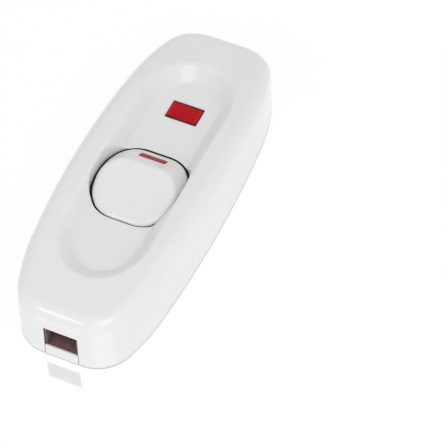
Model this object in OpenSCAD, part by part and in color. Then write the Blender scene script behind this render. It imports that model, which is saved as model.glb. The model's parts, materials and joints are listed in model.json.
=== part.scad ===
// In-line cord switch: a slim white housing with a dished front, a double-pole rocker and a neon lens.
// It lies on its back. +Z leaves the front face, +Y points to the neon end, and the origin is the
// middle of the back face. Lengths are in millimetres and angles in degrees.

/* [Housing outline] */
// Overall width of the housing
body_width = 44; // [43:0.5:46]
// Height of the front at the middle of its length
body_height = 24.05; // [24:0.05:24.6]
// How far the front drops from the middle to the ends
front_arch = 5.1; // [4.9:0.05:5.3]
// Radius of the long, nearly straight flank
flank_radius = 394; // [380:2:410]
// Angle that the flank arc turns through
flank_angle = 5.04; // [4.8:0.02:5.2]
// Radius of the shoulder between flank and corner
shoulder_radius = 69.5; // [66:0.5:72]
// Angle that the shoulder arc turns through
shoulder_angle = 13.07; // [12.5:0.01:13.5]
// Radius of the corner beside the flat end
corner_radius = 11.96; // [11.5:0.02:12.2]
// Inward lean of the end faces, millimetres for each millimetre of height
end_draft = 0.03; // [0.02:0.005:0.05]
// Radius of the rounded front edge
front_fillet = 4; // [3.8:0.1:4.4]
// Thickness of the housing's walls
wall = 2.2; // [2:0.1:2.4]

/* [Dished recess] */
// Height of the recess floor above the back
dish_floor_z = 17.9; // [17.8:0.05:18.1]
// Thickness of the recess floor
dish_floor_wall = 2; // [1.8:0.1:2]
// Half width of the recess floor
dish_floor_half_width = 8.9; // [8.7:0.05:9.1]
// Half width of the recess at its rim
dish_rim_half_width = 14.7; // [14.5:0.1:14.8]
// Half length of the straight sides of the recess
dish_straight = 26; // [25:0.5:27]
// Length of the round end of the recess floor
dish_floor_cap = 11.3; // [11:0.1:11.6]
// Length of the round end of the recess at its rim
dish_rim_cap = 17.3; // [16.8:0.1:17.6]

/* [Rocker] */
// Place of the rocker's axis along the housing
rocker_y = -5.05; // [-5.3:0.05:-4.8]
// Height of the rocker's axis
rocker_z = 16.5; // [16.3:0.1:16.6]
// Half width of the rocker opening
opening_half_width = 13.5; // [13.4:0.05:13.6]
// Half length of the rocker opening
opening_half_length = 13.78; // [13.7:0.02:13.9]
// Half length of the straight short edge of the opening
opening_flat_x = 3.4; // [3.2:0.1:3.8]
// Half length of the straight long edge of the opening
opening_flat_y = 3.2; // [3:0.1:3.4]
// Gap between rocker and opening at the rocker's ends
rocker_gap = 0.3; // [0.25:0.05:0.35]
// Gap between rocker and opening at the rocker's sides
rocker_side_gap = 0.35; // [0.3:0.05:0.4]
// Angle between the ON and OFF positions
rocker_travel = 16; // [15:0.5:16]
// Place of the ridge along the housing
ridge_y = -1.2; // [-1.6:0.1:-0.8]
// Height of the ridge
ridge_z = 24.4; // [24.2:0.1:24.6]
// Slope of the long pressing facet
press_facet_slope = 20.2; // [20:0.1:20.6]
// Slope of the short facet that carries the indicator bar
bar_facet_slope = 33.5; // [33:0.5:34.5]
// Half width of the pressing facet
plateau_half_width = 12; // [11.8:0.1:12.1]
// Radius of the pressing facet's corners beside the ridge
plateau_corner = 7.4; // [7:0.1:7.6]
// Slope of the cheeks beside the pressing facet
cheek_slope = 62; // [60:1:64]
// Width of the red indicator bar
bar_width = 8.5; // [8:0.1:9]
// Length of the red indicator bar along its facet
bar_length = 2.7; // [2.4:0.1:2.9]

/* [Neon lens] */
// Place of the lens along the housing
lens_y = 25.7; // [25.5:0.1:26]
// Width of the lens
lens_width = 10.1; // [9.8:0.1:10.3]
// Length of the lens along the housing
lens_length = 6.6; // [6.4:0.1:6.8]
// How far the lens stands out of the recess floor
lens_proud = 0.4; // [0.2:0.1:0.6]

/* [Cable entries] */
// Half width of each cable entry
entry_half_width = 5.4; // [5.2:0.1:5.6]
// Top of each cable entry above the back
entry_top_z = 12; // [11.8:0.1:12.2]
// Height of the sill of each cable entry above the back
entry_sill_z = 4.3; // [4.2:0.05:4.35]
// Thickness of the fibre bush that lines each cable entry
bush_wall = 0.5; // [0.4:0.1:0.6]
// Thickness of the rear cover
rear_thickness = 2; // [1.9:0.1:2]

/* [Poles] */
// Distance of each pole from the middle
pole_x = 6; // [5.9:0.1:6.1]
// Outer radius of the plungers in the rocker
plunger_radius = 1.9; // [1.8:0.05:1.9]
// Radial running clearance of plungers and pivot pins
running_clearance = 0.05; // [0.04:0.01:0.06]
// Radius of the plunger's round nose
nose_radius = 1.2; // [1.15:0.05:1.2]
// Wire radius of the plunger springs
spring_wire = 0.22; // [0.2:0.01:0.24]
// Turns of each plunger spring
spring_turns = 7; // [6:1:8]

/* [Hidden] */

$fn = 48;
cut = 1;            // how far a cutting solid runs past the face it cuts
live = -1;          // side of the live pole
neutral = 1;        // side of the neutral pole
supply = -1;        // end where the supply cord enters
load = 1;           // end where the load cord leaves

// Outline of the housing: three tangent arcs a quarter and a flat end
flank_centre = [body_width / 2 - flank_radius, 0];
shoulder_centre = flank_centre + (flank_radius - shoulder_radius) * polar(flank_angle);
corner_centre = shoulder_centre
    + (shoulder_radius - corner_radius) * polar(flank_angle + shoulder_angle);
half_length = corner_centre[1] + corner_radius;
flank_steps = 5;
shoulder_steps = 3;
corner_steps = 7;
straight_steps = flank_steps + shoulder_steps;

// Inside of the housing
inner_fillet = 3;
dish_wall = 1.8;
dish_rim_wall = 0.9;
dish_underside_z = dish_floor_z - dish_floor_wall;
dish_edge_share = 0.24;   // part of the recess wall's run that each soft edge takes
dish_runs = [0.95, 1 - dish_edge_share, 0.5, dish_edge_share, 0.05];

// Rocker
half_travel = rocker_travel / 2;
rocker_axis = [0, rocker_y, rocker_z];
rocker_half_width = opening_half_width - rocker_side_gap;
rocker_radius = opening_half_length - rocker_gap;
rocker_wall = 1.8;
rocker_skirt = 3.5;       // from the axis down to the rocker's lower edge
ridge_radius = 1.6;
facet_run = 22;
cheek_steps = 7;
cheek_margin = 0.3;       // keeps the cheeks' surface clear of the short facet
cheek_rise = 3;           // how far the cheeks' surface runs above the pressing facet
cheek_reach = 11;         // how far it runs out sideways
cheek_straight = 16;
cheek_bottom_z = -20;
well_wall = 1.6;
well_bottom_z = 12;
pin_radius = 1.25;
pin_inner_x = 10.9;
pin_head_radius = 2;
pin_head_length = 0.8;
well_outer_x = opening_half_width + well_wall;
bar_depth = 0.8;
bar_proud = 0.08;
bar_y = 4.2;

// Plungers, measured down from the rocker's axis along the plunger
guide_radius = 3;
guide_end = 6.2;
spring_seat = -3;
plunger_top = 3.2;
plunger_shoulder = 6.6;
nose_centre = 8;
plunger_bore = 1.4;
plunger_bore_end = 6;
guide_bore = plunger_radius + running_clearance;
spring_radius = 1.1;
spring_sides = 8;
spring_steps = 12;

// See-saw contact: its block, its pivot ridge and the dimple that the nose passes over
block_height = 1.5;
block_half_length = 1.6;
block_bottom = -0.1;
nose_gap = 0.05;
contact_width = 4.4;
ridge_rod_radius = 0.5;
ridge_web = 0.35;
dimple_radius = 1.3;
dimple_depth = 0.19;
arm_bottom = 0.1;
arm_thickness = 1;
supply_arm_length = 8;
load_arm_length = 10;
tip_reach = 8.5;
moving_tip_radius = 1.3;
moving_tip_height = 0.5;
fixed_tip_radius = 1.5;
tip_gap = 0.02;
// Height of the see-saw's pivot, from the nose that rests on the tilted block
pivot_z = rocker_z - (block_height + nose_radius + nose_gap + nose_centre * cos(rocker_travel))
    / cos(half_travel);
pivot = [0, rocker_y, pivot_z];

// Switch base and the brass pieces that lie on it
base_bottom_z = 2.6;
base_top_z = 4.2;
base_half_width = 15.5;
base_supply_y = -35.5;
base_load_y = 37;
barrier_half_width = 0.8;
barrier_top_z = 9.5;
barrier_supply_y = -20;
barrier_load_y = 10;
strip_thickness = 0.6;
strip_width = 4;
strip_top_z = base_top_z + strip_thickness;
base_post_y = [-24.3, 14.5];
base_post_radius = 2.6;
base_screw_radius = 1.1;
base_head_radius = 2.3;
base_head_z = [2.2, 3.4];
base_screw_top_z = 11;

// Terminals
terminal_size = [7, 9, 8];
supply_terminal_x = 8.5;
supply_terminal_y = -30;
load_terminal_x = 10;
load_terminal_y = 31.5;
earth_terminal_size = [5.6, 6.6, 8];
earth_terminal_y = -30.9;
wire_bore_radius = 1.7;
wire_bore_z = 9.2;
terminal_screw_radius = 1.5;
terminal_screw_z = [2.8, 7.4];
screw_access_radius = 2.3;

// Rear cover
rear_clearance = 0.15;
cover_screw_place = [13.5, 41];
cover_boss_radius = 3;
cover_boss_bottom_z = 3.7;
cover_boss_top_z = 20.4;
cover_screw_radius = 1.45;
cover_screw_top_z = 13;
cover_hole_radius = 1.7;
cover_head_radius = 2.9;
cover_head_z = [0.2, 1.9];
cover_pad_radius = 3.5;
cover_pad_top_z = 3.6;

// Cord grips
grip_place = [9, 48];
grip_post_radius = 2.6;
grip_post_bottom_z = 4.4;
grip_post_top_z = 19;
grip_plate_z = [2.2, 4.2];
grip_plate_half_width = 11.8;
grip_plate_y = [44.8, 51.2];
grip_tongue_half_width = 8.5;
grip_tongue_end = 54.8;
entry_floor_end = 57.5;
grip_screw_radius = 1.2;
grip_hole_radius = 1.4;
grip_head_radius = 2.2;
grip_head_z = [2.3, 3.4];
grip_screw_top_z = 13;
grip_pad_z = [12.2, 13.6];
grip_pad_half_width = 5;
grip_pad_y = [46.2, 52.8];
grip_rib_radius = 0.5;
seat_half_width = 5.2;
seat_top_z = 18.9;

// Bushes of the cable entries
bush_y = [55, 57.6];
bush_flange_y = 55.7;
bush_flange = 1.3;

// Neon lamp
lamp_radius = 2.3;
lamp_inner_radius = 1.8;
lamp_y = [21.8, 31];
lamp_z = 11.6;
electrode_x = 0.8;
electrode_start_y = 23.6;
lead_radius = 0.3;
lead_hole = 0.36;
lead_turn_y = 33.2;
resistor_place = [4.8, 23.5, 9.2];
resistor_length = 6;
resistor_radius = 1;
lead_end = [7.3, 21.8];
holder_half_width = 3.4;
holder_y = [21.6, 30.4];
holder_floor = 1;
holder_upright = 1.5;
lens_flange = [12.4, 9];
lens_flange_thickness = 1;
lens_window_gap = 0.05;
lens_chamfer = 0.3;

function polar(angle) = [cos(angle), sin(angle)];
function mix(a, b, share) = a + (b - a) * share;
function crown(y) = body_height - front_arch * pow(y / half_length, 2);

// Points of an arc, from step first to the last
function arc(centre, radius, from, to, steps, first) =
    [for (i = [first:steps]) centre + radius * polar(from + (to - from) * i / steps)];

// A quarter of the housing's outline, set in by inset
function quarter_outline(inset) = concat(
    arc(flank_centre, flank_radius - inset, 0, flank_angle, flank_steps, 0),
    arc(shoulder_centre, shoulder_radius - inset, flank_angle,
        flank_angle + shoulder_angle, shoulder_steps, 1),
    arc(corner_centre, corner_radius - inset, flank_angle + shoulder_angle, 90, corner_steps, 1),
    [[0, corner_centre[1] + corner_radius - inset]]
);

// A quarter of a racetrack with round ends, with as many points as the outline
function quarter_racetrack(half_width, straight, cap) = concat(
    [for (i = [0:straight_steps]) [half_width, straight * i / straight_steps]],
    [for (i = [1:corner_steps + 1]) let (turn = polar(90 * i / (corner_steps + 1)))
        [half_width * turn[0], straight + cap * turn[1]]]
);

// A quarter of the rocker opening: two straight edges and an elliptical corner
function quarter_opening(half_width, half_length, steps) =
    [for (i = [0:steps]) let (turn = polar(90 * i / steps))
        [opening_flat_x + (half_width - opening_flat_x) * turn[0],
         opening_flat_y + (half_length - opening_flat_y) * turn[1]]];

// The whole loop of a quarter whose ends lie on the two axes
function loop(quarter) = let (last = len(quarter) - 1) concat(
    [for (i = [0:last]) quarter[i]],
    [for (i = [last - 1:-1:0]) [-quarter[i][0], quarter[i][1]]],
    [for (i = [1:last]) -quarter[i]],
    [for (i = [last - 1:-1:1]) [quarter[i][0], -quarter[i][1]]]
);

// The whole loop of a quarter that starts and ends off the axes
function open_loop(quarter) = let (last = len(quarter) - 1) concat(
    quarter,
    [for (i = [last:-1:0]) [-quarter[i][0], quarter[i][1]]],
    [for (p = quarter) -p],
    [for (i = [last:-1:0]) [quarter[i][0], -quarter[i][1]]]
);

// A ring of the housing at one height, with the lean of the end faces
function flat_ring(outline, z) =
    [for (p = outline) [p[0], p[1] * (1 - end_draft * z / half_length), z]];

// A ring of the housing a given drop below the arched front
function arched_ring(outline, drop) =
    [for (p = outline) let (z = crown(p[1]) - drop)
        [p[0], p[1] * (1 - end_draft * z / half_length), z]];

function fillet_ring(inset, radius, top_drop, angle) = arched_ring(
    loop(quarter_outline(inset + radius * (1 - cos(angle)))),
    top_drop + radius * (1 - sin(angle))
);

// Share of the recess wall's height at a share of its run, with soft edges
function soft_slope(run) = let (e = dish_edge_share, k = 1 / (1 - e))
    run < e ? 1 - k * run * run / (2 * e)
    : run > 1 - e ? k * pow(1 - run, 2) / (2 * e)
    : 1 - k * (run - e / 2);

dish_rim = loop(quarter_racetrack(dish_rim_half_width, dish_straight, dish_rim_cap));
dish_floor = loop(quarter_racetrack(dish_floor_half_width, dish_straight, dish_floor_cap));
dish_rim_under = loop(quarter_racetrack(
    dish_rim_half_width + dish_rim_wall, dish_straight, dish_rim_cap + dish_rim_wall));
dish_floor_under = loop(quarter_racetrack(
    dish_floor_half_width + dish_wall, dish_straight, dish_floor_cap + dish_wall));

function dish_ring(run) = [for (i = [0:len(dish_rim) - 1])
    let (p = mix(dish_rim[i], dish_floor[i], run), rim_z = crown(dish_rim[i][1]))
        [p[0], p[1], dish_floor_z + (rim_z - dish_floor_z) * soft_slope(run)]];

// Triangles that close one half of a ring in strips across it, between start and start + half
function half_cap(start, half, count) = [for (i = [0:half / 2 - 1])
    let (a = (start + i) % count, b = (start + i + 1) % count,
         c = (start + half - i - 1) % count, d = (start + half - i) % count)
        each i < half / 2 - 1 ? [[a, b, d], [b, c, d]] : [[a, b, d]]];

// Triangles that close a whole ring whose point count is a multiple of four
function strip_cap(count) = concat(half_cap(0, count / 2, count), half_cap(count / 2, count / 2, count));

function turned(faces) = [for (f = faces) [f[2], f[1], f[0]]];
function shifted(faces, by) = [for (f = faces) [for (i = f) i + by]];

// A closed skin through rings of equal length, from the front inwards
module skin(rings) {
    count = len(rings[0]);
    last = len(rings) - 1;
    sides = [for (j = [0:last - 1], i = [0:count - 1])
        let (a = j * count + i, b = j * count + (i + 1) % count)
            each [[a, b, b + count], [a, b + count, a + count]]];
    cap = strip_cap(count);
    polyhedron([for (ring = rings) each ring],
        concat(sides, turned(cap), shifted(cap, last * count)), convexity = 10);
}

// A straight rod between two points
module rod(from, to, radius) {
    run = to - from;
    translate(from)
        rotate([0, acos(run[2] / norm(run)), atan2(run[1], run[0])])
            cylinder(h = norm(run), r = radius);
}

// A bent wire through points, with round joints
module wire(points, radius) {
    for (i = [0:len(points) - 2]) rod(points[i], points[i + 1], radius);
    for (i = [1:len(points) - 2]) translate(points[i]) sphere(r = radius);
}

// An upright rod between two heights
module upright(x, y, heights, radius) {
    translate([x, y, heights[0]]) cylinder(h = heights[1] - heights[0], r = radius);
}

// A box between two corners
module box(low, high) {
    translate(low) cube(high - low);
}

// A screw pointing up: shank, domed head below it and a slot across the head
module screw(x, y, head_z, top_z, radius, head_radius) {
    slot_width = 0.3 * head_radius;
    slot_depth = 0.45 * (head_z[1] - head_z[0]);
    difference() {
        union() {
            upright(x, y, [head_z[1], top_z], radius);
            upright(x, y, head_z, head_radius);
        }
        translate([x - head_radius - cut, y - slot_width / 2, head_z[0] - cut])
            cube([2 * (head_radius + cut), slot_width, slot_depth + cut]);
    }
}

module on_pole(side) {
    translate([side * pole_x, 0, 0]) children();
}

module at_corners(place) {
    for (x = [-1, 1], y = [-1, 1]) translate([x * place[0], y * place[1], 0]) children();
}

// ---- Housing ----

// Walls, arched front and dished recess in one skin, open at the back
module front_shell() {
    skin(concat(
        [dish_ring(1)],
        [for (run = dish_runs) dish_ring(run)],
        [dish_ring(0)],
        [arched_ring(mix(dish_rim, loop(quarter_outline(front_fillet)), 0.5), 0)],
        [for (angle = [90:-15:0]) fillet_ring(0, front_fillet, 0, angle)],
        [flat_ring(loop(quarter_outline(0)), 0)],
        [flat_ring(loop(quarter_outline(wall)), 0)],
        [for (angle = [0:30:90]) fillet_ring(wall, inner_fillet, wall, angle)],
        [arched_ring(dish_rim_under, wall)],
        [[for (p = dish_floor_under) [p[0], p[1], dish_underside_z]]]
    ));
}

module opening_prism(grow, bottom_z, top_z) {
    translate([0, rocker_y, bottom_z])
        linear_extrude(height = top_z - bottom_z)
            polygon(open_loop(quarter_opening(
                opening_half_width + grow, opening_half_length + grow, 10)));
}

// Walls of the rocker's well, which end inside the recess floor and its side walls
module rocker_well() {
    side_top_z = body_height - 1.9;
    floor_top_z = dish_floor_z - 1;
    intersection() {
        opening_prism(well_wall, well_bottom_z, body_height);
        translate([0, rocker_y + 20, 0]) rotate([90, 0, 0]) linear_extrude(height = 40) polygon([
            [-16, well_bottom_z], [16, well_bottom_z], [16, side_top_z], [13.2, side_top_z],
            [9.3, floor_top_z], [-9.3, floor_top_z], [-13.2, side_top_z], [-16, side_top_z]
        ]);
    }
}

module front_cover() {
    color("whitesmoke") difference() {
        union() {
            front_shell();
            rocker_well();
            at_corners(cover_screw_place)
                upright(0, 0, [cover_boss_bottom_z, cover_boss_top_z], cover_boss_radius);
            at_corners(grip_place)
                upright(0, 0, [grip_post_bottom_z, grip_post_top_z], grip_post_radius);
            for (y = base_post_y)
                upright(0, y, [base_top_z, dish_floor_z - 1], base_post_radius);
            for (end = [supply, load]) scale([1, end, 1])
                box([-seat_half_width, grip_pad_y[0], grip_pad_z[1]],
                    [seat_half_width, grip_pad_y[1], seat_top_z]);
        }
        opening_prism(0, well_bottom_z - cut, body_height + cut);
        for (side = [live, neutral])
            rod([side * (opening_half_width - cut), rocker_y, rocker_z],
                [side * (well_outer_x + cut), rocker_y, rocker_z], pin_radius);
        box([-lens_width / 2 - lens_window_gap, lens_y - lens_length / 2 - lens_window_gap,
             dish_underside_z - cut],
            [lens_width / 2 + lens_window_gap, lens_y + lens_length / 2 + lens_window_gap,
             dish_floor_z + cut]);
        for (end = [supply, load]) scale([1, end, 1])
            box([-entry_half_width, half_length - 2 * wall - cut, -cut],
                [entry_half_width, half_length + cut, entry_top_z]);
        at_corners(cover_screw_place)
            upright(0, 0, [cover_boss_bottom_z - cut, cover_screw_top_z], cover_screw_radius);
        at_corners(grip_place)
            upright(0, 0, [grip_post_bottom_z - cut, grip_screw_top_z], grip_screw_radius);
        for (y = base_post_y)
            upright(0, y, [base_top_z - cut, base_screw_top_z], base_screw_radius);
    }
}

module rear_cover() {
    inset = wall + rear_clearance;
    tab_half_width = entry_half_width - rear_clearance;
    lean = end_draft * entry_sill_z;
    sill_back_y = bush_y[1] + rear_clearance;
    color("white") difference() {
        union() {
            linear_extrude(height = rear_thickness) polygon(loop(quarter_outline(inset)));
            for (end = [supply, load]) scale([1, end, 1])
                translate([tab_half_width, 0, 0]) rotate([90, 0, -90])
                    linear_extrude(height = 2 * tab_half_width) polygon([
                        [-(half_length - 2 * wall), 0], [-half_length, 0],
                        [-(half_length - lean), entry_sill_z], [-sill_back_y, entry_sill_z],
                        [-sill_back_y, rear_thickness],
                        [-(half_length - 2 * wall), rear_thickness]
                    ]);
            at_corners(cover_screw_place)
                upright(0, 0, [0, cover_pad_top_z], cover_pad_radius);
        }
        at_corners(cover_screw_place) {
            upright(0, 0, [-cut, cover_pad_top_z + cut], cover_hole_radius);
            upright(0, 0, [-cut, cover_head_z[1]], cover_head_radius + rear_clearance);
        }
    }
}

module rear_cover_screws() {
    color("silver") at_corners(cover_screw_place)
        screw(0, 0, cover_head_z, cover_screw_top_z - cut, cover_screw_radius, cover_head_radius);
}

// ---- Rocker ----

// A body of revolution about the rocker's axis, so the gap stays even as it turns
module rocker_barrel(inset) {
    quarter = quarter_opening(rocker_half_width - inset, rocker_radius - inset, 10);
    last = len(quarter) - 1;
    translate(rocker_axis) rotate([0, 90, 0]) rotate_extrude($fn = 96) polygon(concat(
        [[0, rocker_half_width - inset]],
        [for (p = quarter) [p[1], p[0]]],
        [for (i = [last:-1:0]) [quarter[i][1], -quarter[i][0]]],
        [[0, -(rocker_half_width - inset)]]
    ));
}

// The two facets, the rounded ridge and a lower edge, across the whole width
module facet_prism(inset, skirt) {
    ridge = [ridge_y, ridge_z - inset];
    low_press = ridge + facet_run * [-1, -tan(press_facet_slope)];
    low_bar = ridge + facet_run * [1, -tan(bar_facet_slope)];
    back = ridge_radius * tan((press_facet_slope + bar_facet_slope) / 2);
    press_start = ridge + back * [-cos(press_facet_slope), -sin(press_facet_slope)];
    centre = press_start + ridge_radius * [sin(press_facet_slope), -cos(press_facet_slope)];
    edge = [rocker_y, rocker_z] - skirt * [-sin(half_travel), cos(half_travel)];
    edge_run = facet_run * polar(half_travel);
    translate([-body_width / 2, 0, 0]) rotate([90, 0, 90])
        linear_extrude(height = body_width) polygon(concat(
            [edge - edge_run, edge + edge_run, low_bar],
            arc(centre, ridge_radius, 90 - bar_facet_slope, 90 + press_facet_slope, 6, 0),
            [low_press]
        ));
}

function press_height(y) = ridge_z + (y - ridge_y) * tan(press_facet_slope);

// Edge of the pressing facet as [x, y, direction outwards]: a round corner, then the middle
function plateau_quarter() = let (end_y = ridge_y + cheek_margin) concat(
    [for (i = [0:cheek_steps]) let (angle = 90 * i / cheek_steps, turn = plateau_corner * polar(angle))
        [plateau_half_width - plateau_corner + turn[0], end_y - plateau_corner + turn[1], angle]],
    [[0, end_y, 90]]
);

// Its straight side, then the middle of its far end, which lies beyond the rocker
function plateau_side() = let (start_y = ridge_y + cheek_margin - plateau_corner) concat(
    [for (i = [0:cheek_steps])
        [plateau_half_width, start_y - cheek_straight * i / cheek_steps, 0]],
    [[0, start_y - cheek_straight, -90]]
);

function mirrored(points) = [for (p = points) [-p[0], p[1], 180 - p[2]]];

plateau_edge = let (corner = plateau_quarter(), side = plateau_side(), last = cheek_steps + 1) concat(
    corner,
    [for (i = [last - 1:-1:0]) mirrored(corner)[i]],
    [for (i = [1:last]) mirrored(side)[i]],
    [for (i = [last - 1:-1:1]) side[i]]
);

// A ring of the surface that falls from the pressing facet's edge, at a distance from the edge
function cheek_ring(distance, inset) = [for (p = plateau_edge)
    let (slope = mix(bar_facet_slope, cheek_slope, pow(cos(p[2]), 2)))
        [p[0] + distance * cos(p[2]), p[1] + distance * sin(p[2]),
         press_height(p[1]) - distance * tan(slope) - inset / cos(slope)]];

// The cheeks: steep at the sides, turning round the corners into the short facet's slope
module cheeks(inset) {
    low = cheek_ring(cheek_reach, inset);
    skin([cheek_ring(-cheek_rise, inset), low, [for (p = low) [p[0], p[1], cheek_bottom_z]]]);
}

// The plunger's frame: origin on the rocker's axis, +Z up along the plunger
module along_plunger(side) {
    translate([side * pole_x, rocker_y, rocker_z]) rotate([half_travel, 0, 0]) children();
}

module bar_block(depth, proud) {
    translate([0, ridge_y, ridge_z]) rotate([-bar_facet_slope, 0, 0])
        translate([-bar_width / 2, (bar_y - ridge_y) / cos(bar_facet_slope) - bar_length / 2, -depth])
            cube([bar_width, bar_length, depth + proud]);
}

// Round guides for the plungers, from the rocker's roof down past its axis
module plunger_guides() {
    intersection() {
        for (side = [live, neutral]) along_plunger(side)
            translate([0, 0, -guide_end])
                cylinder(h = guide_end + ridge_z - rocker_z, r = guide_radius);
        facet_prism(rocker_wall / 2, 2 * guide_end);
    }
}

module rocker() {
    color("whitesmoke") difference() {
        union() {
            difference() {
                intersection() {
                    rocker_barrel(0);
                    facet_prism(0, rocker_skirt);
                    cheeks(0);
                }
                intersection() {
                    rocker_barrel(rocker_wall);
                    facet_prism(rocker_wall, 2 * rocker_skirt);
                    cheeks(rocker_wall);
                }
            }
            plunger_guides();
        }
        for (side = [live, neutral]) {
            along_plunger(side) translate([0, 0, -guide_end - cut])
                cylinder(h = guide_end + cut - spring_seat, r = guide_bore);
            rod([side * (pin_inner_x - cut), rocker_y, rocker_z],
                [side * (rocker_half_width + cut), rocker_y, rocker_z],
                pin_radius + running_clearance);
        }
        bar_block(bar_depth, cut);
    }
}

module rocker_indicator_bar() {
    color("crimson") bar_block(bar_depth, bar_proud);
}

module rocker_pivot_pins() {
    color("silver") for (side = [live, neutral]) {
        rod([side * pin_inner_x, rocker_y, rocker_z],
            [side * well_outer_x, rocker_y, rocker_z], pin_radius);
        rod([side * well_outer_x, rocker_y, rocker_z],
            [side * (well_outer_x + pin_head_length), rocker_y, rocker_z], pin_head_radius);
    }
}

// ---- Poles ----

module plunger(side) {
    color("ivory") along_plunger(side) difference() {
        union() {
            translate([0, 0, -plunger_shoulder])
                cylinder(h = plunger_shoulder - plunger_top, r = plunger_radius);
            translate([0, 0, -nose_centre])
                cylinder(h = nose_centre - plunger_shoulder, r = nose_radius);
            translate([0, 0, -nose_centre]) sphere(r = nose_radius);
        }
        translate([0, 0, -plunger_bore_end])
            cylinder(h = plunger_bore_end - plunger_top + cut, r = plunger_bore);
    }
}

module live_plunger() { plunger(live); }
module neutral_plunger() { plunger(neutral); }

// A coil between the rocker's seat and the bottom of the plunger's bore
module plunger_spring(side) {
    count = spring_turns * spring_steps;
    low = -plunger_bore_end + 1.2 * spring_wire;
    high = -spring_seat - 1.2 * spring_wire;
    rings = [for (i = [count:-1:0])
        let (turn = 360 * i / spring_steps, z = mix(low, high, i / count))
            [for (j = [0:spring_sides - 1])
                let (around = -360 * j / spring_sides, r = spring_radius + spring_wire * cos(around))
                    [r * cos(turn), r * sin(turn), z + spring_wire * sin(around)]]];
    color("gainsboro") along_plunger(side) skin(rings);
}

module live_plunger_spring() { plunger_spring(live); }
module neutral_plunger_spring() { plunger_spring(neutral); }

// Brass see-saw: a block that tilts on the pivot ridge and two upswept arms
module moving_contact(side) {
    half_width = contact_width / 2;
    arm_start = block_half_length - 0.3;
    color("goldenrod") on_pole(side) translate(pivot) difference() {
        union() {
            rotate([-half_travel, 0, 0])
                box([-half_width, -block_half_length, block_bottom],
                    [half_width, block_half_length, block_height]);
            box([-half_width, arm_start, arm_bottom],
                [half_width, load_arm_length, arm_bottom + arm_thickness]);
            rotate([-rocker_travel, 0, 0])
                box([-half_width, -supply_arm_length, arm_bottom],
                    [half_width, -arm_start, arm_bottom + arm_thickness]);
        }
        rod([-contact_width, 0, 0], [contact_width, 0, 0], ridge_rod_radius + running_clearance);
        rotate([-half_travel, 0, 0])
            translate([0, 0, block_height - dimple_depth + dimple_radius])
                rod([-contact_width, 0, 0], [contact_width, 0, 0], dimple_radius);
    }
}

module live_moving_contact() { moving_contact(live); }
module neutral_moving_contact() { moving_contact(neutral); }

module moving_tip(side) {
    color("lightgray") on_pole(side) translate(pivot)
        upright(0, tip_reach, [arm_bottom - moving_tip_height, arm_bottom], moving_tip_radius);
}

module live_moving_tip() { moving_tip(live); }
module neutral_moving_tip() { moving_tip(neutral); }

// Brass strip from the supply terminal to the ridge that the see-saw rocks on
module pivot_saddle(side) {
    half_width = contact_width / 2;
    color("goldenrod") on_pole(side) {
        box([-strip_width / 2, supply_terminal_y + terminal_size[1] / 2, base_top_z],
            [strip_width / 2, rocker_y + block_half_length, strip_top_z]);
        box([-half_width, rocker_y - ridge_web, base_top_z],
            [half_width, rocker_y + ridge_web, pivot_z]);
        translate(pivot) rod([-half_width, 0, 0], [half_width, 0, 0], ridge_rod_radius);
    }
}

module live_pivot_saddle() { pivot_saddle(live); }
module neutral_pivot_saddle() { pivot_saddle(neutral); }

module fixed_contact(side) {
    color("goldenrod") on_pole(side)
        box([-strip_width / 2, rocker_y + tip_reach - 2, base_top_z],
            [strip_width / 2, load_terminal_y - terminal_size[1] / 2, strip_top_z]);
}

module live_fixed_contact() { fixed_contact(live); }
module neutral_fixed_contact() { fixed_contact(neutral); }

module fixed_tip(side) {
    top_z = pivot_z + arm_bottom - moving_tip_height - tip_gap;
    color("lightgray") on_pole(side)
        upright(0, rocker_y + tip_reach, [strip_top_z, top_z], fixed_tip_radius);
}

module live_fixed_tip() { fixed_tip(live); }
module neutral_fixed_tip() { fixed_tip(neutral); }

// ---- Terminals ----

// Brass block with a wire bore along the housing and a screw hole from the back
module terminal(x, y, size) {
    color("gold") difference() {
        box([x - size[0] / 2, y - size[1] / 2, base_top_z],
            [x + size[0] / 2, y + size[1] / 2, base_top_z + size[2]]);
        rod([x, y - size[1] / 2 - cut, wire_bore_z], [x, y + size[1] / 2 + cut, wire_bore_z],
            wire_bore_radius);
        upright(x, y, [base_top_z - cut, wire_bore_z], terminal_screw_radius);
    }
}

module live_supply_terminal() {
    terminal(live * supply_terminal_x, supply_terminal_y, terminal_size);
}
module neutral_supply_terminal() {
    terminal(neutral * supply_terminal_x, supply_terminal_y, terminal_size);
}
module live_load_terminal() {
    terminal(live * load_terminal_x, load_terminal_y, terminal_size);
}
module neutral_load_terminal() {
    terminal(neutral * load_terminal_x, load_terminal_y, terminal_size);
}
module earth_terminal() {
    terminal(0, earth_terminal_y, earth_terminal_size);
}

screw_places = concat([[0, earth_terminal_y]], [for (side = [live, neutral]) each [
    [side * supply_terminal_x, supply_terminal_y],
    [side * load_terminal_x, load_terminal_y]
]]);

module terminal_screws() {
    slot = [2 * terminal_screw_radius + cut, 0.5, 0.9];
    color("silver") for (place = screw_places) difference() {
        upright(place[0], place[1], terminal_screw_z, terminal_screw_radius);
        translate([place[0] - slot[0] / 2, place[1] - slot[1] / 2, terminal_screw_z[0] - cut])
            cube([slot[0], slot[1], slot[2] + cut]);
    }
}

// ---- Switch base ----

module switch_base() {
    color("dimgray") difference() {
        union() {
            box([-base_half_width, base_supply_y, base_bottom_z],
                [base_half_width, base_load_y, base_top_z]);
            box([-barrier_half_width, barrier_supply_y, base_top_z],
                [barrier_half_width, barrier_load_y, barrier_top_z]);
        }
        for (place = screw_places)
            upright(place[0], place[1], [base_bottom_z - cut, base_top_z + cut],
                screw_access_radius);
        for (y = base_post_y) {
            upright(0, y, [base_bottom_z - cut, base_top_z + cut], base_screw_radius);
            upright(0, y, [base_bottom_z - cut, base_head_z[1]], base_head_radius);
        }
    }
}

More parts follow.
